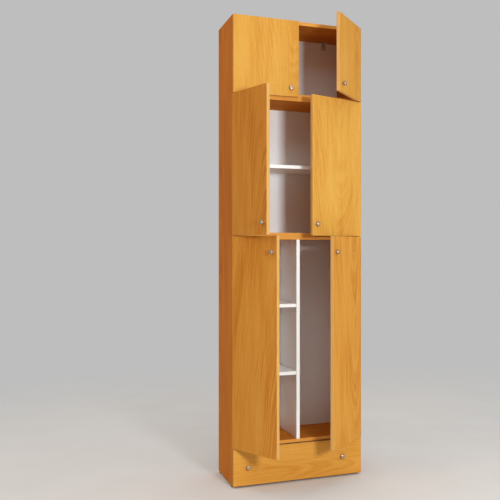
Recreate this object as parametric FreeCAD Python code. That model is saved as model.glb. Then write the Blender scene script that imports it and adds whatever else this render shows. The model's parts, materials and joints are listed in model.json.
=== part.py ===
import FreeCAD, Part

import math
import os

# Broom cupboard: three stacked chipboard boxes with six doors and one full-width drawer.
# Frame: millimetres, +X to the right, +Y to the back, +Z up.
# Origin: on the floor, midway between the sides, in the plane of the boxes' front edges.
# Every door stands at its rest angle, and the drawer is closed.

Vector = FreeCAD.Vector
X_AXIS = Vector(1, 0, 0)
Y_AXIS = Vector(0, 1, 0)
Z_AXIS = Vector(0, 0, 1)

# ---------------------------------------------------------------- driving dimensions
# Boxes
WIDTH = 700.0              # across the outside of each box
DEPTH = 340.0              # front edge to rear edge of a side
BOARD = 18.0               # coated chipboard of the boxes and shelves
BASE_HEIGHT = 1284.0
MIDDLE_HEIGHT = 732.0
UPPER_HEIGHT = 404.0
BOARD_EDGE = 0.8           # rounding of the box boards' edges
BACK_BOARD = 3.0
BACK_INSET = 12.0          # rear edge of the sides to the back board
GROOVE_DEPTH = 6.0         # in the sides, for the back board
GROOVE_CLEARANCE = 0.2     # on each face of the back board, and at its edges
DRAWER_BAY = 176.0         # clear height under the floor of the tall compartments
SHELF_SETBACK = 6.0
SHELF_BACK_GAP = 8.0
SHELF_END_GAP = 0.5

# Doors and drawer front
DOOR_BOARD = 18.0
DOOR_EDGE = 2.0            # rounding of the edge bands
DOOR_GAP = 3.0             # between a closed front's back face and the boxes
FRONT_GAP = 3.0            # between neighbouring doors
DRAWER_FRONT_GAP = 2.0     # between the drawer front and the tall doors above it
SIDE_REVEAL = 1.0          # door edge to the outside of the box
REST_ANGLE = {
    "base_left": 64.8,
    "base_right": 45.0,
    "middle_left": 74.7,
    "middle_right": 22.7,
    "upper_left": 0.0,
    "upper_right": 50.7,
}

# Concealed hinges
PIVOT_FROM_EDGE = 8.0      # pin axis to the door's hinge edge
PIVOT_FROM_BACK = 8.5      # pin axis to the door's back face
PIN_RADIUS = 1.5
PIN_CLEARANCE = 0.05
EYE_WALL = 1.25
CUP_RADIUS = 17.5
CUP_DEPTH = 13.0
CUP_WALL = 0.8
CUP_CLEARANCE = 0.1
CUP_FROM_EDGE = 20.5       # cup centre to the door's hinge edge
CUP_PLATE = 1.0
CUP_PLATE_LENGTH = 64.0
CUP_PLATE_WIDTH = 22.0
CUP_SCREW_SPACING = 52.0
CUP_SCREW_OFFSET = 5.5     # screw line beyond the cup centre
ARM_STRAP = 2.0
ARM_STRAP_WIDTH = 12.0
ARM_REACH = 12.5           # pin axis to the strap that runs back into the box
ARM_DROP = 2.0             # strap's bend ahead of the pin axis
ARM_CHANNEL_HEIGHT = 10.0
ARM_CHANNEL_WIDTH = 15.0
ARM_CHANNEL_WALL = 1.5
ARM_START = 8.0            # front end of the channel behind the box's front edge
ARM_LENGTH = 54.0
PLATE_BASE = 2.5
PLATE_LENGTH = 32.0
PLATE_WIDTH = 20.0
PLATE_SETBACK = 37.0       # screw line behind the box's front edge
PLATE_WING_LENGTH = 48.0
PLATE_WING_WIDTH = 12.0
PLATE_SCREW_SPACING = 32.0
PLATE_FIT = 0.3            # between the plate's block and the arm's channel
HINGE_FROM_END = 100.0     # hinge centre to the door's end
HINGE_COUNT = {"base": 3, "middle": 2, "upper": 2}

# Knobs
KNOB_RADIUS = 12.5
KNOB_HEAD = 8.0
KNOB_NECK_RADIUS = 5.5
KNOB_FOOT_RADIUS = 8.0
KNOB_FOOT = 2.0
KNOB_HEIGHT = 20.0
KNOB_ROUND = 4.0
KNOB_FROM_FREE_EDGE = {"base": 26.0, "middle": 27.0, "upper": 43.0}
KNOB_BELOW_TOP_OF_BASE_DOOR = 81.0
KNOB_ABOVE_FOOT_OF_MIDDLE_DOOR = 61.0
KNOB_ABOVE_FOOT_OF_UPPER_DOOR = 44.0
DRAWER_KNOB_FROM_SIDE = {"left": 78.0, "right": 111.0}  # to the cupboard's nearer side
DRAWER_KNOB_HEIGHT = {"left": 93.0, "right": 99.0}      # above the drawer front's lower edge
KNOB_SCREW_RADIUS = 2.0
KNOB_SCREW_DEPTH = 8.0     # thread inside the knob
KNOB_SCREW_HEAD_RADIUS = 4.5
KNOB_SCREW_HEAD = 1.8
KNOB_SCREW_CLEARANCE = 0.2

# Drawer box and its rails
DRAWER_BOARD = 16.0
DRAWER_LIFT = 24.0         # drawer box above the bottom panel
DRAWER_HEADROOM = 32.0     # drawer box to the panel above it
DRAWER_BACK_ROOM = 28.0    # drawer box to the back board
DRAWER_SIDE_GAP = 3.0      # drawer side to cupboard side
DRAWER_BOTTOM = 3.0
DRAWER_BOTTOM_UP = 10.0    # drawer bottom above the sides' lower edges
DRAWER_BOTTOM_GROOVE = 6.0
DRAWER_SCREW_BITE = 30.0
DRAWER_SCREW_FROM_EDGE = 22.0
RAIL_HEIGHT = 16.0
RAIL_GRIP = 8.0            # rail inside the drawer side's groove
RAIL_END_GAP = 1.0         # groove deeper than the rail's grip
RAIL_SETBACK = 14.0        # rail end behind the box's front edge
RAIL_BACK_GAP = 21.0       # rail end to the back board
RAIL_CLEARANCE = 0.3
RAIL_SCREW_ENDS = 30.0

# Fasteners
SCREW_RADIUS = 1.75        # chipboard screws
SCREW_HEAD_RADIUS = 3.4
SCREW_HEAD = 1.4
SCREW_BITE = 13.0          # length in the board
SCREW_CLEARANCE = 0.1
CAM_RADIUS = 7.5
CAM_HEIGHT = 12.5
CAM_FROM_END = 34.0        # cam centre to the panel's end
CAM_BOLT_RADIUS = 3.4
CAM_BOLT_THREAD = 2.5
CAM_BOLT_BITE = 11.0
CAM_HEAD_RADIUS = 3.2
CAM_HEAD = 3.0
CAM_NECK_RADIUS = 1.8
CAM_CLEARANCE = 0.1
CAM_FROM_FRONT = 45.0
CAM_FROM_REAR = 60.0
DOWEL_RADIUS = 4.0
DOWEL_LENGTH = 30.0
DOWEL_BITE = 12.0          # length in the board that it enters square on
DOWEL_CLEARANCE = 0.05
DIVIDER_DOWEL_ENDS = 60.0
PEG_RADIUS = 2.5
PEG_BITE = 9.0
PEG_CLEARANCE = 0.05
PEG_TAB = 9.0
PEG_TAB_WIDTH = 10.0
PEG_TAB_THICK = 3.0
PEG_FROM_SHELF_END = 45.0
CONNECTOR_RADIUS = 4.0
CONNECTOR_BORE = 2.6       # radius inside the sleeve
CONNECTOR_CLEARANCE = 0.1
CONNECTOR_HEAD_RADIUS = 7.0
CONNECTOR_HEAD = 2.0
CONNECTOR_FROM_SIDE = 90.0
CONNECTOR_FROM_FRONT = 60.0
CONNECTOR_FROM_REAR = 70.0
GLIDE_RADIUS = 8.5
GLIDE_HEIGHT = 9.0
GLIDE_NAIL_RADIUS = 1.25
GLIDE_NAIL = 14.0
GLIDE_FROM_END = 30.0
WALL_BRACKET_LEG = 40.0
WALL_BRACKET_WIDTH = 24.0
WALL_BRACKET_THICK = 2.5
WALL_HOLE_RADIUS = 2.75
WALL_HOLE_SPACING = 500.0
WALL_HOLE_DROP = 26.0      # below the top panel's underside
WALL_BACK_HOLE_RADIUS = 4.0
BRACKET_SCREW_RISE = 26.0  # screw in the top panel, ahead of the back board

# ---------------------------------------------------------------- derived places
HALF = WIDTH / 2
INSIDE = HALF - BOARD                       # half of the clear width
BACK_FACE = DEPTH - BACK_INSET - BACK_BOARD  # front face of the back boards
BASE_Z = GLIDE_HEIGHT
MIDDLE_Z = BASE_Z + BASE_HEIGHT
UPPER_Z = MIDDLE_Z + MIDDLE_HEIGHT
TOP_Z = UPPER_Z + UPPER_HEIGHT
FLOOR_PANEL_Z = BASE_Z + BOARD + DRAWER_BAY  # underside of the compartments' floor
FLOOR_TOP_Z = FLOOR_PANEL_Z + BOARD
BASE_CEILING_Z = MIDDLE_Z - BOARD

FRONT_FACE = -DOOR_GAP - DOOR_BOARD
DRAWER_FRONT_Z = BASE_Z + FRONT_GAP / 2
DOOR_SPAN = {
    "base": (FLOOR_PANEL_Z, MIDDLE_Z - FRONT_GAP / 2),
    "middle": (MIDDLE_Z + FRONT_GAP / 2, UPPER_Z - FRONT_GAP / 2),
    "upper": (UPPER_Z + FRONT_GAP / 2, TOP_Z - FRONT_GAP / 2),
}
DRAWER_FRONT_TOP = DOOR_SPAN["base"][0] - DRAWER_FRONT_GAP
DOOR_HINGE_EDGE = -HALF + SIDE_REVEAL       # of a left door; right doors are mirrored
DOOR_FREE_EDGE = -FRONT_GAP / 2
PIVOT_X = DOOR_HINGE_EDGE + PIVOT_FROM_EDGE
PIVOT_Y = -DOOR_GAP - PIVOT_FROM_BACK
KNOB_Z = {
    "base": DOOR_SPAN["base"][1] - KNOB_BELOW_TOP_OF_BASE_DOOR,
    "middle": DOOR_SPAN["middle"][0] + KNOB_ABOVE_FOOT_OF_MIDDLE_DOOR,
    "upper": DOOR_SPAN["upper"][0] + KNOB_ABOVE_FOOT_OF_UPPER_DOOR,
}
FASTENER_Y = (CAM_FROM_FRONT, DEPTH - CAM_FROM_REAR)
DOWEL_Y = (FASTENER_Y[0] + FASTENER_Y[1]) / 2

solids = {}   # node name: list of solids
cuts = {}     # node name: list of tools taken out of it


# ---------------------------------------------------------------- helpers
def add(node, *shapes):
    solids.setdefault(node, []).extend(shapes)


def cut(node, *tools):
    cuts.setdefault(node, []).extend(tools)


def block(x0, x1, y0, y1, z0, z1):
    corner = Vector(min(x0, x1), min(y0, y1), min(z0, z1))
    return Part.makeBox(abs(x1 - x0), abs(y1 - y0), abs(z1 - z0), corner)


def board(x0, x1, y0, y1, z0, z1, edge=BOARD_EDGE):
    """A board with all its edges rounded."""
    plain = block(x0, x1, y0, y1, z0, z1)
    return plain.makeFillet(edge, plain.Edges)


def rod(radius, start, end):
    """A cylinder between two points."""
    along = end.sub(start)
    return Part.makeCylinder(radius, along.Length, start, along)


def mirrored(shape):
    """The same shape on the other side of the cupboard."""
    return shape.mirror(Vector(0, 0, 0), X_AXIS)


def both_sides(shape):
    return [shape, mirrored(shape)]


def moved(shape, x=0.0, y=0.0, z=0.0):
    copy = shape.copy()
    copy.translate(Vector(x, y, z))
    return copy


def fused(first, *others):
    return first.fuse(list(others)).removeSplitter()


# ---------------------------------------------------------------- fasteners
def wood_screw(seat, into, bite=SCREW_BITE):
    """A pan-head screw whose head rests at seat, and the bore of its shank."""
    tip = seat.add(Vector(into).multiply(bite))
    top = seat.sub(Vector(into).multiply(SCREW_HEAD))
    screw = fused(rod(SCREW_RADIUS, seat, tip), rod(SCREW_HEAD_RADIUS, top, seat))
    return screw, rod(SCREW_RADIUS + SCREW_CLEARANCE, seat, tip)


def cam_fitting(panel, side_nodes, z, face_up):
    """Cam locks and their bolts at both ends of a panel, front and rear."""
    up = 1 if face_up else -1
    mouth = z + up * BOARD / 2
    bottom = mouth - up * CAM_HEIGHT
    cam_x = -INSIDE + CAM_FROM_END
    for y in FASTENER_Y:
        tip = Vector(-INSIDE - CAM_BOLT_BITE, y, z)
        side_face = Vector(-INSIDE, y, z)
        neck = Vector(cam_x - CAM_HEAD - 3, y, z)
        head = Vector(cam_x - CAM_HEAD / 2, y, z)
        end = Vector(cam_x + CAM_HEAD / 2, y, z)
        bolt = fused(
            rod(CAM_BOLT_THREAD, tip, side_face),
            rod(CAM_BOLT_RADIUS, side_face, neck),
            rod(CAM_NECK_RADIUS, neck, head),
            rod(CAM_HEAD_RADIUS, head, end),
        )
        tunnel = rod(CAM_BOLT_RADIUS + CAM_CLEARANCE, side_face, Vector(cam_x + CAM_HEAD, y, z))
        lock = rod(CAM_RADIUS, Vector(cam_x, y, bottom), Vector(cam_x, y, mouth - up * 0.5))
        slot_top = mouth - up * 0.5
        slot = block(cam_x - 4, cam_x + 4, y - 0.75, y + 0.75, slot_top, slot_top - up * 1.5)
        lock = lock.cut([tunnel, slot])
        pocket = rod(CAM_RADIUS + CAM_CLEARANCE, Vector(cam_x, y, bottom), Vector(cam_x, y, mouth))
        thread_bore = rod(CAM_BOLT_THREAD + CAM_CLEARANCE, tip, side_face)
        add("cam_bolts", *both_sides(bolt))
        add("cam_locks", *both_sides(lock))
        cut(panel, *both_sides(tunnel), *both_sides(pocket))
        cut(side_nodes[0], thread_bore)
        cut(side_nodes[1], mirrored(thread_bore))


def end_dowels(panel, side_nodes, z):
    """One dowel at each end of a panel, midway between the cams."""
    start = Vector(-INSIDE - DOWEL_BITE, DOWEL_Y, z)
    end = Vector(-INSIDE - DOWEL_BITE + DOWEL_LENGTH, DOWEL_Y, z)
    bore = rod(DOWEL_RADIUS + DOWEL_CLEARANCE, start, end)
    add("panel_dowels", *both_sides(rod(DOWEL_RADIUS, start, end)))
    cut(panel, *both_sides(bore))
    cut(side_nodes[0], bore)
    cut(side_nodes[1], mirrored(bore))


# ---------------------------------------------------------------- boxes
def panel_between_sides(box, name, z0, cams_up):
    """A horizontal panel of a box, with its cams and dowels."""
    node = f"{box}_{name}"
    side_nodes = (f"{box}_side_left", f"{box}_side_right")
    add(node, board(-INSIDE, INSIDE, 0, BACK_FACE, z0, z0 + BOARD))
    cam_fitting(node, side_nodes, z0 + BOARD / 2, cams_up)
    end_dowels(node, side_nodes, z0 + BOARD / 2)


def box_shell(box, z0, z1):
    """The two sides and the back board of a box."""
    side = board(-HALF, -INSIDE, 0, DEPTH, z0, z1)
    groove = block(
        -INSIDE - GROOVE_DEPTH,
        -INSIDE,
        BACK_FACE - GROOVE_CLEARANCE,
        BACK_FACE + BACK_BOARD + GROOVE_CLEARANCE,
        z0,
        z1,
    )
    add(f"{box}_side_left", side)
    add(f"{box}_side_right", mirrored(side))
    cut(f"{box}_side_left", groove)
    cut(f"{box}_side_right", mirrored(groove))
    half_back = INSIDE + GROOVE_DEPTH - GROOVE_CLEARANCE
    back = block(-half_back, half_back, BACK_FACE, BACK_FACE + BACK_BOARD, z0, z1)
    add(f"{box}_back_panel", back)


def shelf(node, x0, x1, z0, left_node, right_node):
    """A loose shelf on four pegs, two in the board at each end."""
    y0, y1 = SHELF_SETBACK, BACK_FACE - SHELF_BACK_GAP
    add(node, board(x0 + SHELF_END_GAP, x1 - SHELF_END_GAP, y0, y1, z0, z0 + BOARD))
    for wall, inward, holder in ((x0, 1, left_node), (x1, -1, right_node)):
        for y in (y0 + PEG_FROM_SHELF_END, y1 - PEG_FROM_SHELF_END):
            root = Vector(wall - inward * PEG_BITE, y, z0 - PEG_RADIUS)
            face = Vector(wall, y, z0 - PEG_RADIUS)
            half = PEG_TAB_WIDTH / 2
            tab = block(wall, wall + inward * PEG_TAB, y - half, y + half, z0 - PEG_TAB_THICK, z0)
            add("shelf_pegs", fused(rod(PEG_RADIUS, root, face), tab))
            cut(holder, rod(PEG_RADIUS + PEG_CLEARANCE, root, face))


def divider():
    """The upright that splits the base box's tall space, on dowels at both ends."""
    half = BOARD / 2
    add("base_divider", board(-half, half, 0, BACK_FACE, FLOOR_TOP_Z, BASE_CEILING_Z))
    ends = (
        ("base_floor_panel", FLOOR_TOP_Z - DOWEL_BITE, FLOOR_TOP_Z - DOWEL_BITE + DOWEL_LENGTH),
        ("base_top_panel", BASE_CEILING_Z + DOWEL_BITE - DOWEL_LENGTH, BASE_CEILING_Z + DOWEL_BITE),
    )
    for panel, z0, z1 in ends:
        for y in (DIVIDER_DOWEL_ENDS, BACK_FACE - DIVIDER_DOWEL_ENDS):
            bore = rod(DOWEL_RADIUS + DOWEL_CLEARANCE, Vector(0, y, z0), Vector(0, y, z1))
            add("panel_dowels", rod(DOWEL_RADIUS, Vector(0, y, z0), Vector(0, y, z1)))
            cut(panel, bore)
            cut("base_divider", bore)


def boxes():
    box_shell("base", BASE_Z, MIDDLE_Z)
    box_shell("middle", MIDDLE_Z, UPPER_Z)
    box_shell("upper", UPPER_Z, TOP_Z)
    panel_between_sides("base", "bottom_panel", BASE_Z, False)
    panel_between_sides("base", "floor_panel", FLOOR_PANEL_Z, False)
    panel_between_sides("base", "top_panel", BASE_CEILING_Z, True)
    panel_between_sides("middle", "bottom_panel", MIDDLE_Z, False)
    panel_between_sides("middle", "top_panel", UPPER_Z - BOARD, True)
    panel_between_sides("upper", "bottom_panel", UPPER_Z, False)
    panel_between_sides("upper", "top_panel", TOP_Z - BOARD, True)
    divider()
    clear = (BASE_CEILING_Z - FLOOR_TOP_Z - 2 * BOARD) / 3
    lower_z = FLOOR_TOP_Z + clear
    upper_z = lower_z + BOARD + clear
    shelf("base_shelf_lower", -INSIDE, -BOARD / 2, lower_z, "base_side_left", "base_divider")
    shelf("base_shelf_upper", -INSIDE, -BOARD / 2, upper_z, "base_side_left", "base_divider")
    middle_z = (MIDDLE_Z + UPPER_Z - BOARD) / 2
    shelf("middle_shelf", -INSIDE, INSIDE, middle_z, "middle_side_left", "middle_side_right")


def connectors():
    """Sleeve nuts and screws that clamp each box to the one below."""
    for joint_z, lower, upper in (
        (MIDDLE_Z, "base_top_panel", "middle_bottom_panel"),
        (UPPER_Z, "middle_top_panel", "upper_bottom_panel"),
    ):
        bottom, top = joint_z - BOARD, joint_z + BOARD
        for y in (CONNECTOR_FROM_FRONT, BACK_FACE - CONNECTOR_FROM_REAR):
            x = -HALF + CONNECTOR_FROM_SIDE
            low, high = Vector(x, y, bottom), Vector(x, y, top)
            cap = Vector(x, y, top + CONNECTOR_HEAD)
            foot = Vector(x, y, bottom - CONNECTOR_HEAD)
            sleeve_end = Vector(x, y, bottom + 4)
            sleeve = fused(
                rod(CONNECTOR_RADIUS, sleeve_end, high), rod(CONNECTOR_HEAD_RADIUS, high, cap)
            ).cut(rod(CONNECTOR_BORE, sleeve_end, high))
            screw = fused(
                rod(CONNECTOR_BORE - CONNECTOR_CLEARANCE, low, Vector(x, y, top - 3)),
                rod(CONNECTOR_HEAD_RADIUS, foot, low),
            )
            hole = rod(CONNECTOR_RADIUS + CONNECTOR_CLEARANCE, low, high)
            add("connector_sleeves", *both_sides(sleeve))
            add("connector_screws", *both_sides(screw))
            cut(lower, *both_sides(hole))
            cut(upper, *both_sides(hole))


def glides():
    """Nail-on plastic glides under the sides."""
    for y in (GLIDE_FROM_END, DEPTH - GLIDE_FROM_END):
        x = -HALF + BOARD / 2
        seat = Vector(x, y, GLIDE_HEIGHT)
        tip = Vector(x, y, GLIDE_HEIGHT + GLIDE_NAIL)
        foot = rod(GLIDE_RADIUS, Vector(x, y, 0), seat)
        foot = foot.makeFillet(1.5, [e for e in foot.Edges if abs(e.BoundBox.ZMax) < 0.01])
        bore = rod(GLIDE_NAIL_RADIUS, seat, tip)
        add("floor_glides", *both_sides(fused(foot, rod(GLIDE_NAIL_RADIUS, seat, tip))))
        cut("base_side_left", bore)
        cut("base_side_right", mirrored(bore))


def wall_brackets():
    """Steel angles in the top box, for the screws that hold the cupboard to a wall."""
    ceiling = TOP_Z - BOARD
    leg, half, thick = WALL_BRACKET_LEG, WALL_BRACKET_WIDTH / 2, WALL_BRACKET_THICK
    x = -WALL_HOLE_SPACING / 2
    flat = block(x - half, x + half, BACK_FACE - leg, BACK_FACE, ceiling - thick, ceiling)
    upright = block(x - half, x + half, BACK_FACE - thick, BACK_FACE, ceiling - leg, ceiling)
    hole_z = ceiling - WALL_HOLE_DROP
    behind = BACK_FACE + BACK_BOARD
    hole = rod(WALL_HOLE_RADIUS, Vector(x, BACK_FACE - thick, hole_z), Vector(x, BACK_FACE, hole_z))
    wide = rod(WALL_BACK_HOLE_RADIUS, Vector(x, BACK_FACE, hole_z), Vector(x, behind, hole_z))
    seat = Vector(x, BACK_FACE - BRACKET_SCREW_RISE, ceiling - thick)
    screw, bore = wood_screw(seat, Z_AXIS)
    bracket = fused(flat, upright).cut([hole, bore])
    add("wall_brackets", *both_sides(bracket))
    add("wood_screws", *both_sides(screw))
    cut("upper_back_panel", *both_sides(wide))
    cut("upper_top_panel", *both_sides(bore))


# ---------------------------------------------------------------- hinges
def hinge_arm():
    """Gooseneck arm of a left hinge at height zero, with its eye round the pin."""
    half = ARM_STRAP_WIDTH / 2
    strap_x = PIVOT_X + ARM_REACH
    bend = Vector(strap_x, PIVOT_Y - ARM_DROP, -half)
    eye_foot = Vector(PIVOT_X, PIVOT_Y, -half)
    eye_radius = PIN_RADIUS + PIN_CLEARANCE + EYE_WALL
    eye = Part.makeCylinder(eye_radius, ARM_STRAP_WIDTH, eye_foot)
    leg_line = bend.sub(eye_foot)
    leg = Part.makeBox(leg_line.Length, ARM_STRAP, ARM_STRAP_WIDTH)
    leg.translate(Vector(0, -ARM_STRAP / 2, 0))
    leg.rotate(Vector(0, 0, 0), Z_AXIS, math.degrees(math.atan2(leg_line.y, leg_line.x)))
    leg.translate(eye_foot)
    knuckle = Part.makeCylinder(ARM_STRAP / 2, ARM_STRAP_WIDTH, bend)
    strap = block(
        strap_x - ARM_STRAP / 2,
        strap_x + ARM_STRAP / 2,
        bend.y,
        ARM_START + ARM_CHANNEL_WALL,
        -half,
        half,
    )
    low = -INSIDE + PLATE_BASE
    wide = ARM_CHANNEL_WIDTH / 2
    channel = block(low, low + ARM_CHANNEL_HEIGHT, ARM_START, ARM_START + ARM_LENGTH, -wide, wide)
    hollow = block(
        low,
        low + ARM_CHANNEL_HEIGHT - ARM_CHANNEL_WALL,
        ARM_START + ARM_CHANNEL_WALL + ARM_STRAP,
        ARM_START + ARM_LENGTH,
        -wide + ARM_CHANNEL_WALL,
        wide - ARM_CHANNEL_WALL,
    )
    arm = fused(eye, leg, knuckle, strap, channel.cut(hollow))
    bore_radius = PIN_RADIUS + PIN_CLEARANCE
    return arm.cut(Part.makeCylinder(bore_radius, ARM_STRAP_WIDTH, eye_foot))


def hinge_plate():
    """Mounting plate on the side, with the block that the arm's channel straddles."""
    low = -INSIDE
    base_y = PLATE_SETBACK - PLATE_LENGTH / 2
    wing_y = PLATE_SETBACK - PLATE_WING_WIDTH / 2
    half_wing = PLATE_WING_LENGTH / 2
    base = block(
        low, low + PLATE_BASE, base_y, base_y + PLATE_LENGTH, -PLATE_WIDTH / 2, PLATE_WIDTH / 2
    )
    wing = block(low, low + PLATE_BASE, wing_y, wing_y + PLATE_WING_WIDTH, -half_wing, half_wing)
    half_rib = ARM_CHANNEL_WIDTH / 2 - ARM_CHANNEL_WALL - PLATE_FIT
    rib_top = low + PLATE_BASE + ARM_CHANNEL_HEIGHT - ARM_CHANNEL_WALL - PLATE_FIT
    rib = block(low, rib_top, base_y, base_y + PLATE_LENGTH, -half_rib, half_rib)
    return fused(base, wing, rib)


def hinge_cup(door_z):
    """Cup of a left hinge pressed into the closed door, with its pin, plate and screws."""
    back = -DOOR_GAP
    x = DOOR_HINGE_EDGE + CUP_FROM_EDGE
    mouth, bottom = Vector(x, back, door_z), Vector(x, back - CUP_DEPTH, door_z)
    inner = Vector(x, back - CUP_DEPTH + CUP_WALL, door_z)
    rim = Vector(x, back + CUP_PLATE, door_z)
    room = rod(CUP_RADIUS - CUP_WALL, inner, rim)
    pin = rod(
        PIN_RADIUS,
        Vector(PIVOT_X, PIVOT_Y, door_z - CUP_RADIUS),
        Vector(PIVOT_X, PIVOT_Y, door_z + CUP_RADIUS),
    ).common(rod(CUP_RADIUS, bottom, mouth))
    screw_x = x + CUP_SCREW_OFFSET
    half = CUP_PLATE_LENGTH / 2
    plate = block(
        screw_x - CUP_PLATE_WIDTH / 2,
        screw_x + CUP_PLATE_WIDTH / 2,
        back,
        back + CUP_PLATE,
        door_z - half,
        door_z + half,
    )
    upright = [e for e in plate.Edges if abs(e.BoundBox.YLength - CUP_PLATE) < 0.01]
    plate = plate.makeFillet(CUP_PLATE_WIDTH / 4, upright)
    cup = fused(rod(CUP_RADIUS, bottom, mouth), plate).cut(room)
    cup = cup.fuse(pin).removeSplitter()
    screws, bores = [], []
    for z in (door_z - CUP_SCREW_SPACING / 2, door_z + CUP_SCREW_SPACING / 2):
        screw, bore = wood_screw(Vector(screw_x, back + CUP_PLATE, z), -Y_AXIS)
        screws.append(screw)
        bores.append(bore)
    cup = cup.cut(bores)
    pocket = rod(CUP_RADIUS + CUP_CLEARANCE, bottom, mouth)
    return [cup] + screws, [pocket] + bores


# ---------------------------------------------------------------- knobs
def knob(x, z):
    """A round knob on a closed front at x, z, its screw, and the screw's hole in the front."""
    round_ = KNOB_ROUND
    rim, top = KNOB_RADIUS, KNOB_HEIGHT
    under = KNOB_HEIGHT - KNOB_HEAD
    corner = round_ * (1 - math.sqrt(0.5))
    lines = [
        (Vector(0, 0, 0), Vector(KNOB_FOOT_RADIUS, 0, 0)),
        (Vector(KNOB_FOOT_RADIUS, 0, 0), Vector(KNOB_FOOT_RADIUS, 0, KNOB_FOOT)),
        (Vector(KNOB_FOOT_RADIUS, 0, KNOB_FOOT), Vector(KNOB_NECK_RADIUS, 0, KNOB_FOOT + 2)),
        (Vector(KNOB_NECK_RADIUS, 0, KNOB_FOOT + 2), Vector(KNOB_NECK_RADIUS, 0, under - 2)),
        (Vector(KNOB_NECK_RADIUS, 0, under - 2), Vector(rim, 0, under + 1)),
        (Vector(rim, 0, under + 1), Vector(rim, 0, top - round_)),
        (Vector(rim - round_, 0, top), Vector(0, 0, top)),
        (Vector(0, 0, top), Vector(0, 0, 0)),
    ]
    edges = [Part.makeLine(start, end) for start, end in lines]
    shoulder = Part.Arc(
        Vector(rim, 0, top - round_),
        Vector(rim - corner, 0, top - corner),
        Vector(rim - round_, 0, top),
    )
    edges.insert(6, shoulder.toShape())
    body = Part.Face(Part.Wire(edges)).revolve(Vector(0, 0, 0), Z_AXIS, 360)
    body = Part.Solid(body.Shells[0]) if body.ShapeType != "Solid" else body
    body.rotate(Vector(0, 0, 0), X_AXIS, 90)
    body.translate(Vector(x, FRONT_FACE, z))
    back = Vector(x, -DOOR_GAP, z)
    tip = Vector(x, FRONT_FACE - KNOB_SCREW_DEPTH, z)
    head_top = Vector(x, -DOOR_GAP + KNOB_SCREW_HEAD, z)
    screw = fused(
        rod(KNOB_SCREW_RADIUS, tip, back), rod(KNOB_SCREW_HEAD_RADIUS, back, head_top)
    )
    hole = rod(KNOB_SCREW_RADIUS + KNOB_SCREW_CLEARANCE, tip, back)
    body = body.cut(rod(KNOB_SCREW_RADIUS + KNOB_SCREW_CLEARANCE, tip, Vector(x, FRONT_FACE, z)))
    return [body, screw], hole


# ---------------------------------------------------------------- doors
def door(box, side):
    """A door with its cups and knob, hung on the box and turned to its rest angle."""
    z0, z1 = DOOR_SPAN[box]
    name = f"{box}_{side}"
    place = mirrored if side == "right" else (lambda shape: shape)
    leaf = board(DOOR_HINGE_EDGE, DOOR_FREE_EDGE, FRONT_FACE, -DOOR_GAP, z0, z1, DOOR_EDGE)
    count = HINGE_COUNT[box]
    first, last = z0 + HINGE_FROM_END, z1 - HINGE_FROM_END
    heights = [first + (last - first) * i / (count - 1) for i in range(count)]
    cup_solids = []
    for z in heights:
        parts, pockets = hinge_cup(z)
        cup_solids += parts
        leaf = leaf.cut(pockets)
        add(f"{box}_hinge_arms", place(moved(hinge_arm(), z=z)))
        plate = moved(hinge_plate(), z=z)
        for offset in (-PLATE_SCREW_SPACING / 2, PLATE_SCREW_SPACING / 2):
            seat = Vector(-INSIDE + PLATE_BASE, PLATE_SETBACK, z + offset)
            screw, bore = wood_screw(seat, -X_AXIS)
            plate = plate.cut(bore)
            add("wood_screws", place(screw))
            cut(f"{box}_side_{side}", place(bore))
        add("hinge_plates", place(plate))
    knob_solids, hole = knob(DOOR_FREE_EDGE - KNOB_FROM_FREE_EDGE[box], KNOB_Z[box])
    leaf = leaf.cut(hole)
    turning = {
        f"{name}_door": [leaf],
        f"{name}_hinge_cups": cup_solids,
        f"{name}_knob": knob_solids,
    }
    for node, parts in turning.items():
        for part in parts:
            part.rotate(Vector(PIVOT_X, PIVOT_Y, 0), Z_AXIS, -REST_ANGLE[name])
            add(node, place(part))


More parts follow.
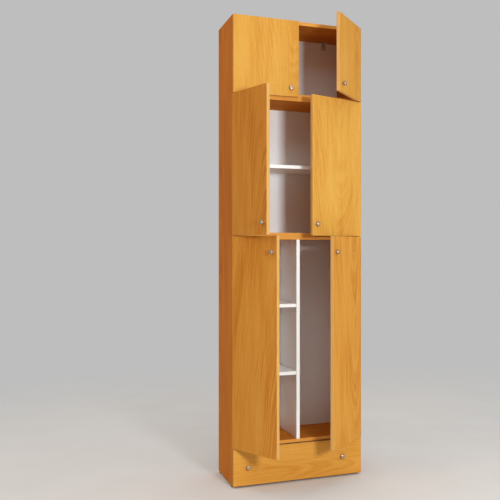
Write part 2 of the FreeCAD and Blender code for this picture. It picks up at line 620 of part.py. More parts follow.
# ---------------------------------------------------------------- drawer
def drawer():
    """Full-width drawer that runs on rails in its grooved sides."""
    back_of_front = -DOOR_GAP
    front = board(
        -HALF + SIDE_REVEAL,
        HALF - SIDE_REVEAL,
        FRONT_FACE,
        back_of_front,
        DRAWER_FRONT_Z,
        DRAWER_FRONT_TOP,
        DOOR_EDGE,
    )
    knobs = []
    for hand, way in (("left", -1), ("right", 1)):
        x = way * (HALF - DRAWER_KNOB_FROM_SIDE[hand])
        parts, hole = knob(x, DRAWER_FRONT_Z + DRAWER_KNOB_HEIGHT[hand])
        front = front.cut(hole)
        knobs += parts
    add("drawer_front", front)
    add("drawer_knobs", *knobs)

    outer = INSIDE - DRAWER_SIDE_GAP
    inner = outer - DRAWER_BOARD
    z0 = BASE_Z + BOARD + DRAWER_LIFT
    z1 = FLOOR_PANEL_Z - DRAWER_HEADROOM
    rear = BACK_FACE - DRAWER_BACK_ROOM
    side = block(-outer, -inner, back_of_front, rear, z0, z1)
    rail_z = (z0 + z1 - RAIL_HEIGHT) / 2
    side_groove = block(
        -outer,
        -outer + RAIL_GRIP + RAIL_END_GAP,
        back_of_front + DRAWER_BOARD,
        rear,
        rail_z - RAIL_CLEARANCE,
        rail_z + RAIL_HEIGHT + RAIL_CLEARANCE,
    )
    bottom_z = z0 + DRAWER_BOTTOM_UP
    bottom_groove = block(
        -inner - DRAWER_BOTTOM_GROOVE,
        -inner,
        back_of_front,
        rear,
        bottom_z - GROOVE_CLEARANCE,
        bottom_z + DRAWER_BOTTOM + GROOVE_CLEARANCE,
    )
    side = side.cut([side_groove, bottom_groove])
    back_z = bottom_z + DRAWER_BOTTOM
    screws = []
    for z in (back_z + DRAWER_SCREW_FROM_EDGE, z1 - DRAWER_SCREW_FROM_EDGE):
        seat = Vector(-outer + SCREW_HEAD, rear - DRAWER_BOARD / 2, z)
        screw, bore = wood_screw(seat, X_AXIS, bite=DRAWER_SCREW_BITE)
        sink = rod(SCREW_HEAD_RADIUS + SCREW_CLEARANCE, Vector(-outer, seat.y, z), seat)
        side = side.cut([bore, sink])
        screws += both_sides(screw)
        cut("drawer_back", *both_sides(bore))
    add("drawer_side_left", side)
    add("drawer_side_right", mirrored(side))
    add("drawer_back", block(-inner, inner, rear - DRAWER_BOARD, rear, back_z, z1))
    half_bottom = inner + DRAWER_BOTTOM_GROOVE - GROOVE_CLEARANCE
    add("drawer_bottom", block(-half_bottom, half_bottom, back_of_front, rear, bottom_z, back_z))
    add("drawer_screws", *screws)

    rail_reach = DRAWER_SIDE_GAP + RAIL_GRIP
    rail_rear = BACK_FACE - RAIL_BACK_GAP
    rail = block(
        -INSIDE, -INSIDE + rail_reach, RAIL_SETBACK, rail_rear, rail_z, rail_z + RAIL_HEIGHT
    )
    for y in (RAIL_SETBACK + RAIL_SCREW_ENDS, rail_rear - RAIL_SCREW_ENDS):
        seat = Vector(-INSIDE + rail_reach - SCREW_HEAD, y, rail_z + RAIL_HEIGHT / 2)
        screw, bore = wood_screw(seat, -X_AXIS, bite=SCREW_BITE + rail_reach)
        mouth = Vector(-INSIDE + rail_reach, y, seat.z)
        rail = rail.cut([bore, rod(SCREW_HEAD_RADIUS + SCREW_CLEARANCE, seat, mouth)])
        add("wood_screws", *both_sides(screw))
        cut("base_side_left", bore)
        cut("base_side_right", mirrored(bore))
    add("drawer_rails", *both_sides(rail))


# ---------------------------------------------------------------- build
def write_steps():
    os.makedirs("parts", exist_ok=True)
    for node, shapes in solids.items():
        tools = cuts.get(node, [])
        if tools:
            shapes = [shape.cut(tools) for shape in shapes]
        whole = shapes[0] if len(shapes) == 1 else Part.makeCompound(shapes)
        whole.exportStep(f"parts/{node}.step")
        print(f"{node}: {len(whole.Solids)} solid(s), {whole.Volume / 1000:.1f} cm3")


boxes()
connectors()
glides()
wall_brackets()
for box_name in ("base", "middle", "upper"):
    for side_name in ("left", "right"):
        door(box_name, side_name)
drawer()
write_steps()
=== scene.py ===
"""Broom cupboard: finishes, floor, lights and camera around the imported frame."""

import json
import math

import bpy
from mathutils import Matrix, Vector


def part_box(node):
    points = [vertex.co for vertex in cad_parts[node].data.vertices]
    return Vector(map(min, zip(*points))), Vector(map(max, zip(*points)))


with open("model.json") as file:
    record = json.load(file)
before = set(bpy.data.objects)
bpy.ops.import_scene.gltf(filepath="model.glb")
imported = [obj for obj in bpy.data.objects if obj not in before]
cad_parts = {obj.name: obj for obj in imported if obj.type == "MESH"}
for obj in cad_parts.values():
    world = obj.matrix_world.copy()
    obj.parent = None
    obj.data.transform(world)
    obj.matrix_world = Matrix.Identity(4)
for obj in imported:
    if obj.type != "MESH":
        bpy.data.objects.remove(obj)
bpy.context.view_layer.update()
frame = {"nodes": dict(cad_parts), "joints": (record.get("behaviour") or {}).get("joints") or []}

# ---------------------------------------------------------------- directions and places

RIGHT = Vector((1, 0, 0))
BACK = Vector((0, 1, 0))
UP = Vector((0, 0, 1))

SIDES = ("left", "right")
BOXES = ("base", "middle", "upper")

# ---------------------------------------------------------------- colours, as screen values


def shade(red, green, blue):
    """A screen colour of 0 to 255 as the linear colour that a shader takes."""
    parts = [value / 255 for value in (red, green, blue)]
    linear = [p / 12.92 if p <= 0.04045 else ((p + 0.055) / 1.055) ** 2.4 for p in parts]
    return (*linear, 1.0)


FRONT_TONES = (shade(196, 124, 43), shade(215, 154, 66), shade(228, 174, 89))
FRONT_BAND = (shade(205, 154, 88), shade(219, 173, 108))
# The carcass has the same foil as the fronts. These tones are darker and redder: painted shade that
# stands in for the shade on its side panels.
CARCASS_TONES_PAINTED_SHADE = (shade(190, 106, 34), shade(210, 129, 47), shade(222, 148, 63))
CARCASS_BAND = (shade(214, 143, 62), shade(231, 168, 84))
WOOD_PORE = shade(170, 94, 30)
WOOD_FLECK = shade(188, 112, 42)
CHIP_DARK = shade(132, 96, 58)
CHIP_MIDDLE = shade(184, 148, 101)
CHIP_LIGHT = shade(216, 187, 142)
WHITE_SHADE = shade(245, 245, 244)
WHITE_LIGHT = shade(251, 251, 250)
BACK_WHITE_SHADE = shade(237, 239, 241)
BACK_WHITE_LIGHT = shade(245, 247, 249)
FIBREBOARD_DARK = shade(142, 102, 64)
FIBREBOARD_LIGHT = shade(188, 147, 102)
FIBREBOARD_SAWN = shade(92, 64, 40)
DRAWER_SHADE = shade(228, 224, 215)
DRAWER_LIGHT = shade(242, 239, 232)
DOWEL_DARK = shade(196, 158, 106)
DOWEL_LIGHT = shade(226, 196, 148)
NICKEL_DARK = shade(170, 142, 114)
NICKEL_LIGHT = shade(210, 188, 161)
STEEL_DARK = shade(186, 187, 188)
STEEL_LIGHT = shade(222, 222, 222)
ZINC_DARK = shade(168, 172, 178)
ZINC_LIGHT = shade(208, 210, 213)
GLIDE_DARK = shade(34, 32, 31)
GLIDE_LIGHT = shade(52, 50, 48)
RAIL_SHADE = shade(222, 219, 211)
RAIL_LIGHT = shade(236, 234, 228)
FLOOR_DARK = shade(214, 213, 213)
FLOOR_LIGHT = shade(224, 223, 223)
BACKDROP_BEHIND = shade(190, 190, 190)
BACKDROP_FRONT = shade(236, 236, 236)

# ---------------------------------------------------------------- shader maths


class Value:
    """A socket whose arithmetic adds Math nodes to its shader."""

    def __init__(self, shader, socket):
        self.shader = shader
        self.socket = socket

    def __add__(self, other):
        return self.shader.math("ADD", self, other)

    __radd__ = __add__

    def __sub__(self, other):
        return self.shader.math("SUBTRACT", self, other)

    def __rsub__(self, other):
        return self.shader.math("SUBTRACT", other, self)

    def __mul__(self, other):
        return self.shader.math("MULTIPLY", self, other)

    __rmul__ = __mul__

    def __truediv__(self, other):
        return self.shader.math("DIVIDE", self, other)

    def __rtruediv__(self, other):
        return self.shader.math("DIVIDE", other, self)

    def __pow__(self, other):
        return self.shader.math("POWER", self, other)

    def __rpow__(self, other):
        return self.shader.math("POWER", other, self)

    def __abs__(self):
        return self.shader.math("ABSOLUTE", self)

    def least(self, other):
        return self.shader.math("MINIMUM", self, other)

    def most(self, other):
        return self.shader.math("MAXIMUM", self, other)

    def sine(self):
        return self.shader.math("SINE", self)

    def root(self):
        return self.shader.math("SQRT", self)

    def along(self, direction):
        """How far a place or normal reaches along a fixed direction."""
        settings = {"operation": "DOT_PRODUCT"}
        sockets = {0: self, 1: tuple(direction)}
        return self.shader.node("ShaderNodeVectorMath", settings, sockets, "Value")

    def from_point(self, point):
        """The vector from a fixed point to this place."""
        settings = {"operation": "SUBTRACT"}
        return self.shader.node("ShaderNodeVectorMath", settings, {0: self, 1: tuple(point)})

    def length(self):
        """How long a vector is."""
        return self.shader.node("ShaderNodeVectorMath", {"operation": "LENGTH"}, {0: self}, "Value")

    def ramp(self, low, high):
        """Rises smoothly from 0 at low to 1 at high."""
        settings = {"interpolation_type": "SMOOTHSTEP"}
        sockets = {"Value": self, "From Min": low, "From Max": high}
        return self.shader.node("ShaderNodeMapRange", settings, sockets)


class Shader:
    """A node tree, with the methods that add its nodes."""

    def __init__(self, tree):
        self.tree = tree

    def node(self, kind, settings=None, sockets=None, output=0):
        """Adds a node: its settings first, then the values or links of its sockets."""
        made = self.tree.nodes.new(kind)
        for name, value in (settings or {}).items():
            if name == "stops":
                set_stops(made.color_ramp, value)
            else:
                setattr(made, name, value)
        for name, value in (sockets or {}).items():
            self.feed(made.inputs[name], value)
        return Value(self, made.outputs[output])

    def feed(self, socket, value):
        """Links a Value to a socket, or sets the socket to a number or colour."""
        if isinstance(value, Value):
            self.tree.links.new(value.socket, socket)
        else:
            socket.default_value = value

    def math(self, operation, *values):
        return self.node("ShaderNodeMath", {"operation": operation}, dict(enumerate(values)))

    def mix(self, share, first, second):
        """A colour between first, at share 0, and second, at share 1."""
        # A Mix node has one set of sockets for each type of data: these are the colours'.
        sockets = {0: share, 6: first, 7: second}
        return self.node("ShaderNodeMix", {"data_type": "RGBA"}, sockets, output=2)

    def vector(self, x, y, z):
        return self.node("ShaderNodeCombineXYZ", None, {0: x, 1: y, 2: z})

    def noise(self, place, scale=1.0, detail=2.0, roughness=0.5):
        """Cloudy noise of about 0 to 1 round 0.5, with its scale per metre."""
        sockets = {"Vector": place, "Scale": scale, "Detail": detail, "Roughness": roughness}
        return self.node("ShaderNodeTexNoise", None, sockets)

    def place(self):
        """Where a point of the surface is, in the frame at rest, in metres."""
        return self.node("ShaderNodeTexCoord", output="Object")

    def normal(self):
        return self.node("ShaderNodeTexCoord", output="Normal")

    def bump(self, height, depth):
        """A normal for a relief of this depth in metres."""
        sockets = {"Strength": 1.0, "Distance": depth, "Height": height}
        return self.node("ShaderNodeBump", None, sockets)


def set_stops(ramp, stops):
    """Gives a colour ramp exactly these (place, colour) stops."""
    while len(ramp.elements) < len(stops):
        ramp.elements.new(0.5)
    for element, (position, colour) in zip(ramp.elements, stops):
        element.position = position
        element.color = colour


def finish_material(name, paint):
    """A material whose Principled BSDF gets what paint(shader) returns for its sockets."""
    material = bpy.data.materials.new(name)
    material.use_nodes = True
    surface = material.node_tree.nodes["Principled BSDF"]
    shader = Shader(material.node_tree)
    for socket, value in paint(shader).items():
        shader.feed(surface.inputs[socket], value)
    return material


def vertices_of(node):
    """The places of a frame node's vertices, at rest."""
    return [v.co for v in frame["nodes"][node].data.vertices]


# ---------------------------------------------------------------- wood-grain foil


class Board:
    """A wood-grain board: its node, the directions along and across its grain, and its foil."""

    def __init__(self, node, grain, across, foil, number):
        self.node = node
        self.grain = grain
        self.across = across
        self.through = grain.cross(across)
        tones, self.band, self.gloss = foil
        self.seed = SEED_STEP * number
        low, high = self.span(across)
        usual = (0.5 + 0.4 * math.sin(self.seed), *USUAL_ARCHES)
        heart, self.taper, self.contrast, painted_light_share = ARCHES.get(node, usual)
        self.heart = low + (high - low) * heart
        # Painted light: each board's tones shift yellower where it is brightly lit and redder where
        # it is dim.
        self.tones = [yellowed(tone, painted_light_share) for tone in tones]

    def span(self, direction):
        """How far the board reaches along a direction, at both ends."""
        reach = [direction.dot(v) for v in vertices_of(self.node)]
        return min(reach), max(reach)


def yellowed(tone, share):
    """The tone with this share more green and twice as much more blue; under 0 it gets redder."""
    red, green, blue, alpha = tone
    return (red, green * (1 + share), blue * (1 + 2 * share), alpha)


SEED_STEP = 7.3              # from one board's noise to the next one's
RING_WIDTH = 0.0150          # growth ring to growth ring on the face, where they are even
YEAR_WIDTH = 0.0160          # and about as far apart where the years were uneven
HEART_DEPTH = 0.09           # of the log's heart under the face, which rounds the arches' tips
RING_DRIFT = 0.11            # how far long bends carry the rings
RING_WAVER = 0.014           # and short ones
LATE_WOOD = 1.6              # power that narrows the darker part of an even ring
EVEN_SHARE = 0.40            # of the rings' darkness that is evenly spaced
UNEVEN_SHARE = 0.75          # and that follows the uneven years
# The tones of a foil's face, those of the bands on its board's edges, and its specular level.
FRONT_FOIL = (FRONT_TONES, FRONT_BAND, 0.04)
CARCASS_FOIL = (CARCASS_TONES_PAINTED_SHADE, CARCASS_BAND, 0.015)
# Where the arches' tips lie across a door from its hinge, as a share of its width, how fast
# the log tapers (arches point up where that is over 0), how dark the rings are, and how much
# yellower than the others the board's foil is painted: painted light, yellower on the brightly
# lit boards that face the lamps and redder on the dimmer ones turned away from them.
ARCHES = {
    "upper_left_door": (0.95, -0.17, 0.17, 0.08),
    "upper_right_door": (0.20, 0.14, 0.19, -0.01),
    "middle_left_door": (1.05, 0.14, 0.31, -0.08),
    "middle_right_door": (0.50, -0.16, 0.18, 0.08),
    "base_left_door": (1.30, 0.15, 0.35, -0.06),
    "base_right_door": (0.25, -0.13, 0.30, -0.04),
    "drawer_front": (0.30, 0.12, 0.16, -0.02),
}
USUAL_ARCHES = (0.13, 0.30, 0.0)     # the last three of these on every other board


def board_noise(shader, board, across, along, offset=0.0):
    """Noise of this board's own, at a place stretched across and along the grain."""
    return shader.noise(shader.vector(across, along, board.seed + offset))


def growth_rings(shader, board, across, along):
    """Late wood's thin darker arches, from 0 to 1."""
    drift = board_noise(shader, board, across * 4.0, along * 1.1)
    waver = board_noise(shader, board, across * 24.0, along * 5.0, 5.7)
    sideways = across - board.heart
    radius = (sideways * sideways + HEART_DEPTH ** 2).root() + along * board.taper
    radius = radius + drift * RING_DRIFT + waver * RING_WAVER
    even = (radius * (2 * math.pi / RING_WIDTH)).sine() * 0.5 + 0.5
    years = board_noise(shader, board, radius / YEAR_WIDTH, along * 0.4, 9.2)
    uneven = abs(years - 0.5).ramp(0.10, 0.0)
    strength = board_noise(shader, board, across * 8.0, along * 2.0, 3.1)
    rings = even ** LATE_WOOD * EVEN_SHARE + uneven * UNEVEN_SHARE
    return rings * strength.ramp(0.30, 0.62)


# Streaks along the grain: how wide and how long each is, in metres, and the noise's detail.
BROAD = (0.07, 1.2, 2.0)
MIDDLING = (0.012, 0.35, 3.0)
FINE = (0.0022, 0.06, 2.0)
HAIRS = (0.0006, 0.018, 1.0)
FLECKS = (0.0009, 0.0035, 0.0)
BAND_LINES = (0.0016, 0.09, 1.0)


def streaks(shader, board, spot, kind):
    """Noise drawn out along the grain, at a spot given across it, along it and in depth."""
    across, along, depth = spot
    width, length, detail = kind
    stretched = shader.vector(across / width, along / length, depth / width + board.seed)
    return shader.noise(stretched, 1.0, detail, 0.6)


TONE_PLACES = (0.15, 0.5, 0.85)     # of a foil's dark, middle and light tones
MIDDLE_TONE = 0.54           # which streaks and rings make lighter or darker
# How far each kind of streak moves the tone.
BROAD_SWING = 0.40
MIDDLING_SWING = 0.42
FINE_SWING = 0.30
HAIR_SWING = 0.20
# The noise levels between which marks fade in.
PORE_LEVELS = (0.36, 0.26)
FLECK_LEVELS = (0.70, 0.78)
BAND_LEVELS = (0.30, 0.70)
# How much of their own colour the marks have.
PORE_STRENGTH = 0.42
FLECK_STRENGTH = 0.5
# A face's normal lies along the board's thickness by over the first share, an edge's by less
# than the second.
FACE_TO_EDGE = (0.80, 0.55)
FOIL_ROUGHNESS = 0.62
RELIEF = 0.00004             # depth of the foil's embossed grain


def foil_paint(board):
    """The finish of one wood-grain board: its faces and its lighter edge bands."""

    def paint(shader):
        place, normal = shader.place(), shader.normal()
        across = place.along(board.across)
        along = place.along(board.grain)
        depth = place.along(board.through)
        spot = (across, along, depth)
        rings = growth_rings(shader, board, across, along)
        broad = streaks(shader, board, spot, BROAD)
        middling = streaks(shader, board, spot, MIDDLING)
        fine = streaks(shader, board, spot, FINE)
        hairs = streaks(shader, board, spot, HAIRS)
        flecks = streaks(shader, board, spot, FLECKS)
        tone = MIDDLE_TONE + (broad - 0.5) * BROAD_SWING + (middling - 0.5) * MIDDLING_SWING
        tone = tone - rings * board.contrast
        tone = tone + (fine - 0.5) * FINE_SWING + (hairs - 0.5) * HAIR_SWING
        stops = list(zip(TONE_PLACES, board.tones))
        face = shader.node("ShaderNodeValToRGB", {"stops": stops}, {"Fac": tone})
        pores = hairs.ramp(*PORE_LEVELS)
        face = shader.mix(pores * PORE_STRENGTH, face, WOOD_PORE)
        face = shader.mix(flecks.ramp(*FLECK_LEVELS) * FLECK_STRENGTH, face, WOOD_FLECK)
        lines = streaks(shader, board, spot, BAND_LINES)
        band = shader.mix(lines.ramp(*BAND_LEVELS), *board.band)
        edge = abs(normal.along(board.through)).ramp(*FACE_TO_EDGE)
        colour = shader.mix(edge, face, band)
        rough = FOIL_ROUGHNESS + (middling - 0.5) * 0.12 + pores * 0.1 - edge * 0.06
        relief = fine * 0.6 - rings * 0.2 - pores * 0.4
        return {
            "Base Color": colour,
            "Roughness": rough,
            "Normal": shader.bump(relief, RELIEF),
            "Specular IOR Level": board.gloss,
        }

    return paint


CHIPS = 420.0                # of a chipboard's core, per metre
CHIP_TONES = [(0.15, CHIP_DARK), (0.5, CHIP_MIDDLE), (0.9, CHIP_LIGHT)]


def rear_edge_paint(board):
    """Wood-grain board of a box: as foil, with bare chipboard where an edge faces the wall."""

    def paint(shader):
        sockets = foil_paint(board)(shader)
        place, normal = shader.place(), shader.normal()
        cells = {"Vector": place, "Scale": CHIPS}
        chip = shader.node("ShaderNodeTexVoronoi", None, cells, "Color").along((0.4, 0.3, 0.3))
        dust = shader.noise(place, 900.0, 2.0, 0.5)
        tone = chip * 0.7 + dust * 0.3
        raw = shader.node("ShaderNodeValToRGB", {"stops": CHIP_TONES}, {"Fac": tone})
        bare = normal.along(BACK).ramp(0.6, 0.8)
        sockets["Base Color"] = shader.mix(bare, sockets["Base Color"], raw)
        sockets["Roughness"] = sockets["Roughness"] + bare * 0.35
        return sockets

    return paint


# ---------------------------------------------------------------- white boards, metals, plastics


CLOUDS = 0.06                # scale of the clouds' noise, as a share of the grit's


def mottled(dark, light, scale, roughness, spread, depth, metallic=0.0):
    """A finish between two close colours, with grit of this scale per metre and depth in metres,
    and a roughness that varies by about the spread."""

    def paint(shader):
        place = shader.place()
        cloud = shader.noise(place, scale * CLOUDS, 3.0, 0.55)
        grit = shader.noise(place, scale, 2.0, 0.6)
        colour = shader.mix(cloud * 0.7 + grit * 0.3, dark, light)
        return {
            "Base Color": colour,
            "Roughness": roughness + (grit - 0.5) * spread + (cloud - 0.5) * spread,
            "Metallic": metallic,
            "Normal": shader.bump(grit, depth),
        }

    return paint


SIEVE_PITCH = 2600.0         # radians per metre: a wire every 2.4 mm
SAWN = (0.0030, 0.0008)      # how far from a sawn edge its dark fibres show


def back_board_paint(shader):
    """Hardboard: lacquered white towards the room, bare brown fibre with its sieve marks behind."""
    place, normal = shader.place(), shader.normal()
    cloud = shader.noise(place, 9.0, 3.0, 0.5)
    grit = shader.noise(place, 700.0, 2.0, 0.5)
    lacquer = shader.mix(cloud * 0.6 + grit * 0.4, BACK_WHITE_SHADE, BACK_WHITE_LIGHT)
    fibres = shader.noise(place, 260.0, 4.0, 0.7)
    clumps = shader.noise(place, 38.0, 3.0, 0.6)
    patches = shader.noise(place, 5.0, 2.0, 0.5)
    sieve = (place.along(RIGHT) * SIEVE_PITCH).sine() * (place.along(UP) * SIEVE_PITCH).sine()
    tone = 0.52 + (fibres - 0.5) * 0.9 + (clumps - 0.5) * 0.7 + (patches - 0.5) * 0.6 + sieve * 0.08
    fibre = shader.mix(tone, FIBREBOARD_DARK, FIBREBOARD_LIGHT)
    height = place.along(UP)
    for box in BOXES[1:]:
        sawn = abs(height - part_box(f"{box}_back_panel")[0].z).ramp(*SAWN)
        fibre = shader.mix(sawn * 0.75, fibre, FIBREBOARD_SAWN)
    behind = normal.along(BACK).ramp(0.2, 0.6)
    return {
        "Base Color": shader.mix(behind, lacquer, fibre),
        "Roughness": 0.5 + behind * 0.35 + (grit - 0.5) * 0.1,
        "Normal": shader.bump(grit * 0.3 + behind * sieve * 0.7, 0.00005),
    }


TURNING_MARK = 0.0006        # from one mark of the lathe to the next


def turned_paint(centres, axis):
    """Satin nickel with fine turning marks round each knob's axis."""

    def paint(shader):
        place = shader.place()
        radius = None
        for centre in centres:
            reach = place.from_point(centre)
            height = reach.along(axis)
            length = reach.length()
            ring = (length * length - height * height).most(0.0).root()
            radius = ring if radius is None else radius.least(ring)
        marks = (radius * (2 * math.pi / TURNING_MARK)).sine() * 0.5 + 0.5
        cloud = shader.noise(place, 90.0, 3.0, 0.5)
        return {
            "Base Color": shader.mix(cloud * 0.7 + marks * 0.3, NICKEL_DARK, NICKEL_LIGHT),
            "Roughness": 0.22 + marks * 0.06 + (cloud - 0.5) * 0.1,
            "Metallic": 1.0,
            "Normal": shader.bump(marks, 0.000012),
        }

    return paint


# ---------------------------------------------------------------- giving the nodes their finishes


def dress(node, material):
    """Puts one material on a node of the frame."""
    slots = frame["nodes"][node].data.materials
    slots.clear()
    slots.append(material)


def door_directions(box, side):
    """Across the door from its hinge, and through it, as it stands at rest."""
    joint = next(j for j in frame["joints"] if j["name"] == f"{box}_{side}_hinge")
    opened = -math.radians(joint["range_deg"][0])
    inward = 1 if side == "left" else -1
    across = Vector((inward * math.cos(opened), -math.sin(opened), 0))
    return across, across.cross(UP)


def wood_boards():
    """Every wood-grain board, with the way that its grain runs."""
    boards = []
    for box in BOXES:
        for side in SIDES:
            across, _ = door_directions(box, side)
            boards.append((f"{box}_{side}_door", UP, across, FRONT_FOIL))
            boards.append((f"{box}_side_{side}", UP, BACK, CARCASS_FOIL))
        for level in ("bottom", "top"):
            boards.append((f"{box}_{level}_panel", RIGHT, BACK, CARCASS_FOIL))
    boards.append(("base_floor_panel", RIGHT, BACK, CARCASS_FOIL))
    boards.append(("drawer_front", RIGHT, UP, FRONT_FOIL))
    return boards


def dress_wood():
    """Gives every wood-grain board a foil with a figure of its own."""
    for number, (node, grain, across, foil) in enumerate(wood_boards(), start=1):
        board = Board(node, grain, across, foil, number)
        paint = foil_paint(board) if foil is FRONT_FOIL else rear_edge_paint(board)
        dress(node, finish_material(f"wood grain {node}", paint))


def knob_axis_point(vertices, across, through):
    """A point on the axis of a knob, from the reach of its head."""
    sideways = [across.dot(v) for v in vertices]
    heights = [v.z for v in vertices]
    outward = [through.dot(v) for v in vertices]
    middle = (min(sideways) + max(sideways)) / 2
    point = across * middle + through * min(outward)
    point.z = (min(heights) + max(heights)) / 2
    return point


def dress_knobs():
    """Gives each knob turning marks round its own axis, and the drawer's two round theirs."""
    for box in BOXES:
        for side in SIDES:
            node = f"{box}_{side}_knob"
            across, through = door_directions(box, side)
            centre = knob_axis_point(vertices_of(node), across, through)
            dress(node, finish_material(f"satin nickel {node}", turned_paint([centre], through)))
    vertices = vertices_of("drawer_knobs")
    halves = [v for v in vertices if v.x < 0], [v for v in vertices if v.x > 0]
    centres = [knob_axis_point(half, RIGHT, BACK) for half in halves]
    dress("drawer_knobs", finish_material("satin nickel drawer knobs", turned_paint(centres, BACK)))


def dress_all(nodes, name, paint):
    """Puts one new material on each of these nodes."""
    material = finish_material(name, paint)
    for node in nodes:
        dress(node, material)


def dress_rest():
    """White boards, drawer, dowels, fittings, glides and rails."""
    dress_all(
        ("base_divider", "base_shelf_lower", "base_shelf_upper", "middle_shelf"),
        "white foil", mottled(WHITE_SHADE, WHITE_LIGHT, 800, 0.42, 0.08, 0.00003),
    )
    dress_all([f"{box}_back_panel" for box in BOXES], "white hardboard", back_board_paint)
    dress_all(
        ("drawer_side_left", "drawer_side_right", "drawer_back", "drawer_bottom"),
        "drawer board", mottled(DRAWER_SHADE, DRAWER_LIGHT, 600, 0.5, 0.1, 0.00004),
    )
    dress_all(
        ["panel_dowels"],
        "beech dowel", mottled(DOWEL_DARK, DOWEL_LIGHT, 900, 0.7, 0.1, 0.0001),
    )
    arms = [f"{box}_hinge_arms" for box in BOXES]
    cups = [f"{box}_{side}_hinge_cups" for box in BOXES for side in SIDES]
    dress_all(
        (*arms, *cups, "hinge_plates", "shelf_pegs"),
        "nickel-plated steel", mottled(STEEL_DARK, STEEL_LIGHT, 1200, 0.24, 0.1, 0.00002, 1.0),
    )
    dress_all(
        (
            "wood_screws", "cam_bolts", "cam_locks", "connector_sleeves",
            "connector_screws", "wall_brackets", "drawer_screws",
        ),
        "zinc-plated steel", mottled(ZINC_DARK, ZINC_LIGHT, 900, 0.36, 0.16, 0.00003, 1.0),
    )
    dress_all(
        ["floor_glides"],
        "glide plastic", mottled(GLIDE_DARK, GLIDE_LIGHT, 700, 0.5, 0.15, 0.00006),
    )
    dress_all(
        ["drawer_rails"],
        "rail plastic", mottled(RAIL_SHADE, RAIL_LIGHT, 700, 0.45, 0.12, 0.00005),
    )


# ---------------------------------------------------------------- stage, light and camera

FLOOR_SIDE = 16.0
FLOOR_FADE = (1.6, 5.0)      # from the cupboard, where the floor turns into the backdrop


def lay_floor():
    """A pale floor that fades into the backdrop, and is no piece of the cupboard."""
    mesh = bpy.data.meshes.new("floor")
    half = FLOOR_SIDE / 2
    corners = [(-half, -half, 0), (half, -half, 0), (half, half, 0), (-half, half, 0)]
    mesh.from_pydata(corners, [], [(0, 1, 2, 3)])
    floor = bpy.data.objects.new("floor", mesh)
    bpy.context.scene.collection.objects.link(floor)

    material = bpy.data.materials.new("pale floor")
    material.use_nodes = True
    shader = Shader(material.node_tree)
    surface = material.node_tree.nodes["Principled BSDF"]
    place = shader.place()
    cloud = shader.noise(place, 3.0, 3.0, 0.5)
    tint = shader.mix(cloud, FLOOR_DARK, FLOOR_LIGHT)
    shader.feed(surface.inputs["Base Color"], tint)
    surface.inputs["Roughness"].default_value = 0.8
    surface.inputs["Specular IOR Level"].default_value = 0.1
    gone = place.length().ramp(*FLOOR_FADE)
    clear = shader.node("ShaderNodeBsdfTransparent")
    solid = Value(shader, surface.outputs[0])
    mixed = shader.node("ShaderNodeMixShader", None, {0: gone, 1: solid, 2: clear})
    output = material.node_tree.nodes["Material Output"]
    shader.feed(output.inputs["Surface"], mixed)
    mesh.materials.append(material)


# What lights the cupboard from all round, as linear colours.
ROOM_BEHIND = (0.42, 0.41, 0.39, 1.0)
ROOM_FRONT = (0.60, 0.58, 0.55, 1.0)
LEFT_ABOVE = (0.19, 0.118, 0.07, 1.0)
LEFT_BELOW = (0.36, 0.225, 0.13, 1.0)
WALL_BEHIND = (0.92, 0.91, 0.89, 1.0)
CEILING = (0.85, 0.84, 0.81, 1.0)


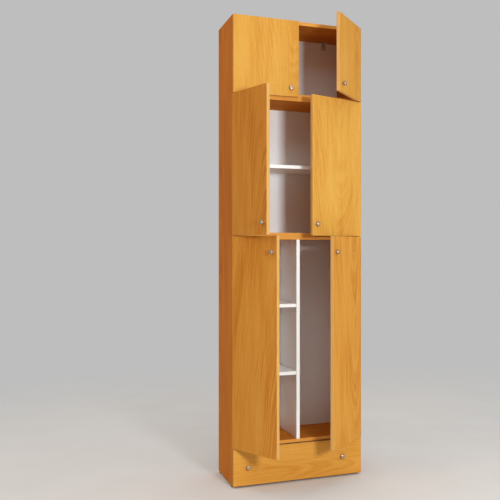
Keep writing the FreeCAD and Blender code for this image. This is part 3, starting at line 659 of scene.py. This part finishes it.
def light_world():
    """A grey backdrop, paler in front, for the camera and reflections, and a room's glow besides."""
    world = bpy.data.worlds.new("studio")
    world.use_nodes = True
    bpy.context.scene.world = world
    shader = Shader(world.node_tree)
    heading = shader.node("ShaderNodeTexCoord", output="Generated")
    front = heading.along(BACK).ramp(0.5, -0.5)
    left = heading.along(RIGHT).ramp(0.35, -0.75)
    overhead = heading.along(UP).ramp(0.2, 0.9)
    backdrop = shader.mix(front, BACKDROP_BEHIND, BACKDROP_FRONT)
    around = shader.mix(front, ROOM_BEHIND, ROOM_FRONT)
    below = heading.along(UP).ramp(0.05, -0.2)
    beside = shader.mix(below, LEFT_ABOVE, LEFT_BELOW)
    glow = shader.mix(left, around, beside)
    glow = shader.mix(heading.along(BACK).ramp(0.55, 0.95), glow, WALL_BEHIND)
    glow = shader.mix(overhead, glow, CEILING)
    camera, glossy, passing = (
        shader.node("ShaderNodeLightPath", output=f"Is {kind} Ray")
        for kind in ("Camera", "Glossy", "Transmission")
    )
    colour = shader.mix(camera.most(glossy).most(passing), glow, backdrop)
    background = world.node_tree.nodes["Background"]
    shader.feed(background.inputs["Color"], colour)


def lamp(name, place, aim, size, power, colour):
    """A square lamp: its place, what it aims at, its side in metres and its power in watts."""
    data = bpy.data.lights.new(name, "AREA")
    data.shape = "SQUARE"
    data.size = size
    data.energy = power
    data.color = colour
    made = bpy.data.objects.new(name, data)
    made.location = place
    made.rotation_euler = (Vector(aim) - Vector(place)).to_track_quat("-Z", "Y").to_euler()
    bpy.context.scene.collection.objects.link(made)


def light_cupboard():
    light_world()
    lamp("key", (0.25, -4.4, 1.65), (0.0, 0.0, 1.4), 0.55, 104.0, (0.965, 1.0, 1.0))
    lamp("top", (-0.6, -2.6, 4.2), (0.0, 0.0, 1.9), 1.6, 17.0, (0.84, 1.0, 1.04))
    lamp("left", (-3.2, -1.2, 3.4), (-0.35, 0.1, 2.0), 1.5, 21.0, (1.0, 0.65, 0.38))


CAMERA_PLACE = (-1.285, -4.222, 1.227)
CAMERA_TURN = -23.95         # degrees, from looking straight at the cupboard's front
CAMERA_SENSOR = 36.0         # millimetres wide
CAMERA_LENS = 59.55          # millimetres
CAMERA_SHIFT = (-0.30, -0.0026)


def place_camera():
    data = bpy.data.cameras.new("camera")
    data.sensor_width = CAMERA_SENSOR
    data.lens = CAMERA_LENS
    data.shift_x, data.shift_y = CAMERA_SHIFT
    camera = bpy.data.objects.new("camera", data)
    camera.location = CAMERA_PLACE
    camera.rotation_euler = (math.radians(90), 0.0, math.radians(CAMERA_TURN))
    bpy.context.scene.collection.objects.link(camera)
    bpy.context.scene.camera = camera


place_camera()
dress_wood()
dress_knobs()
dress_rest()
lay_floor()
light_cupboard()
bpy.context.scene.view_settings.view_transform = "Standard"
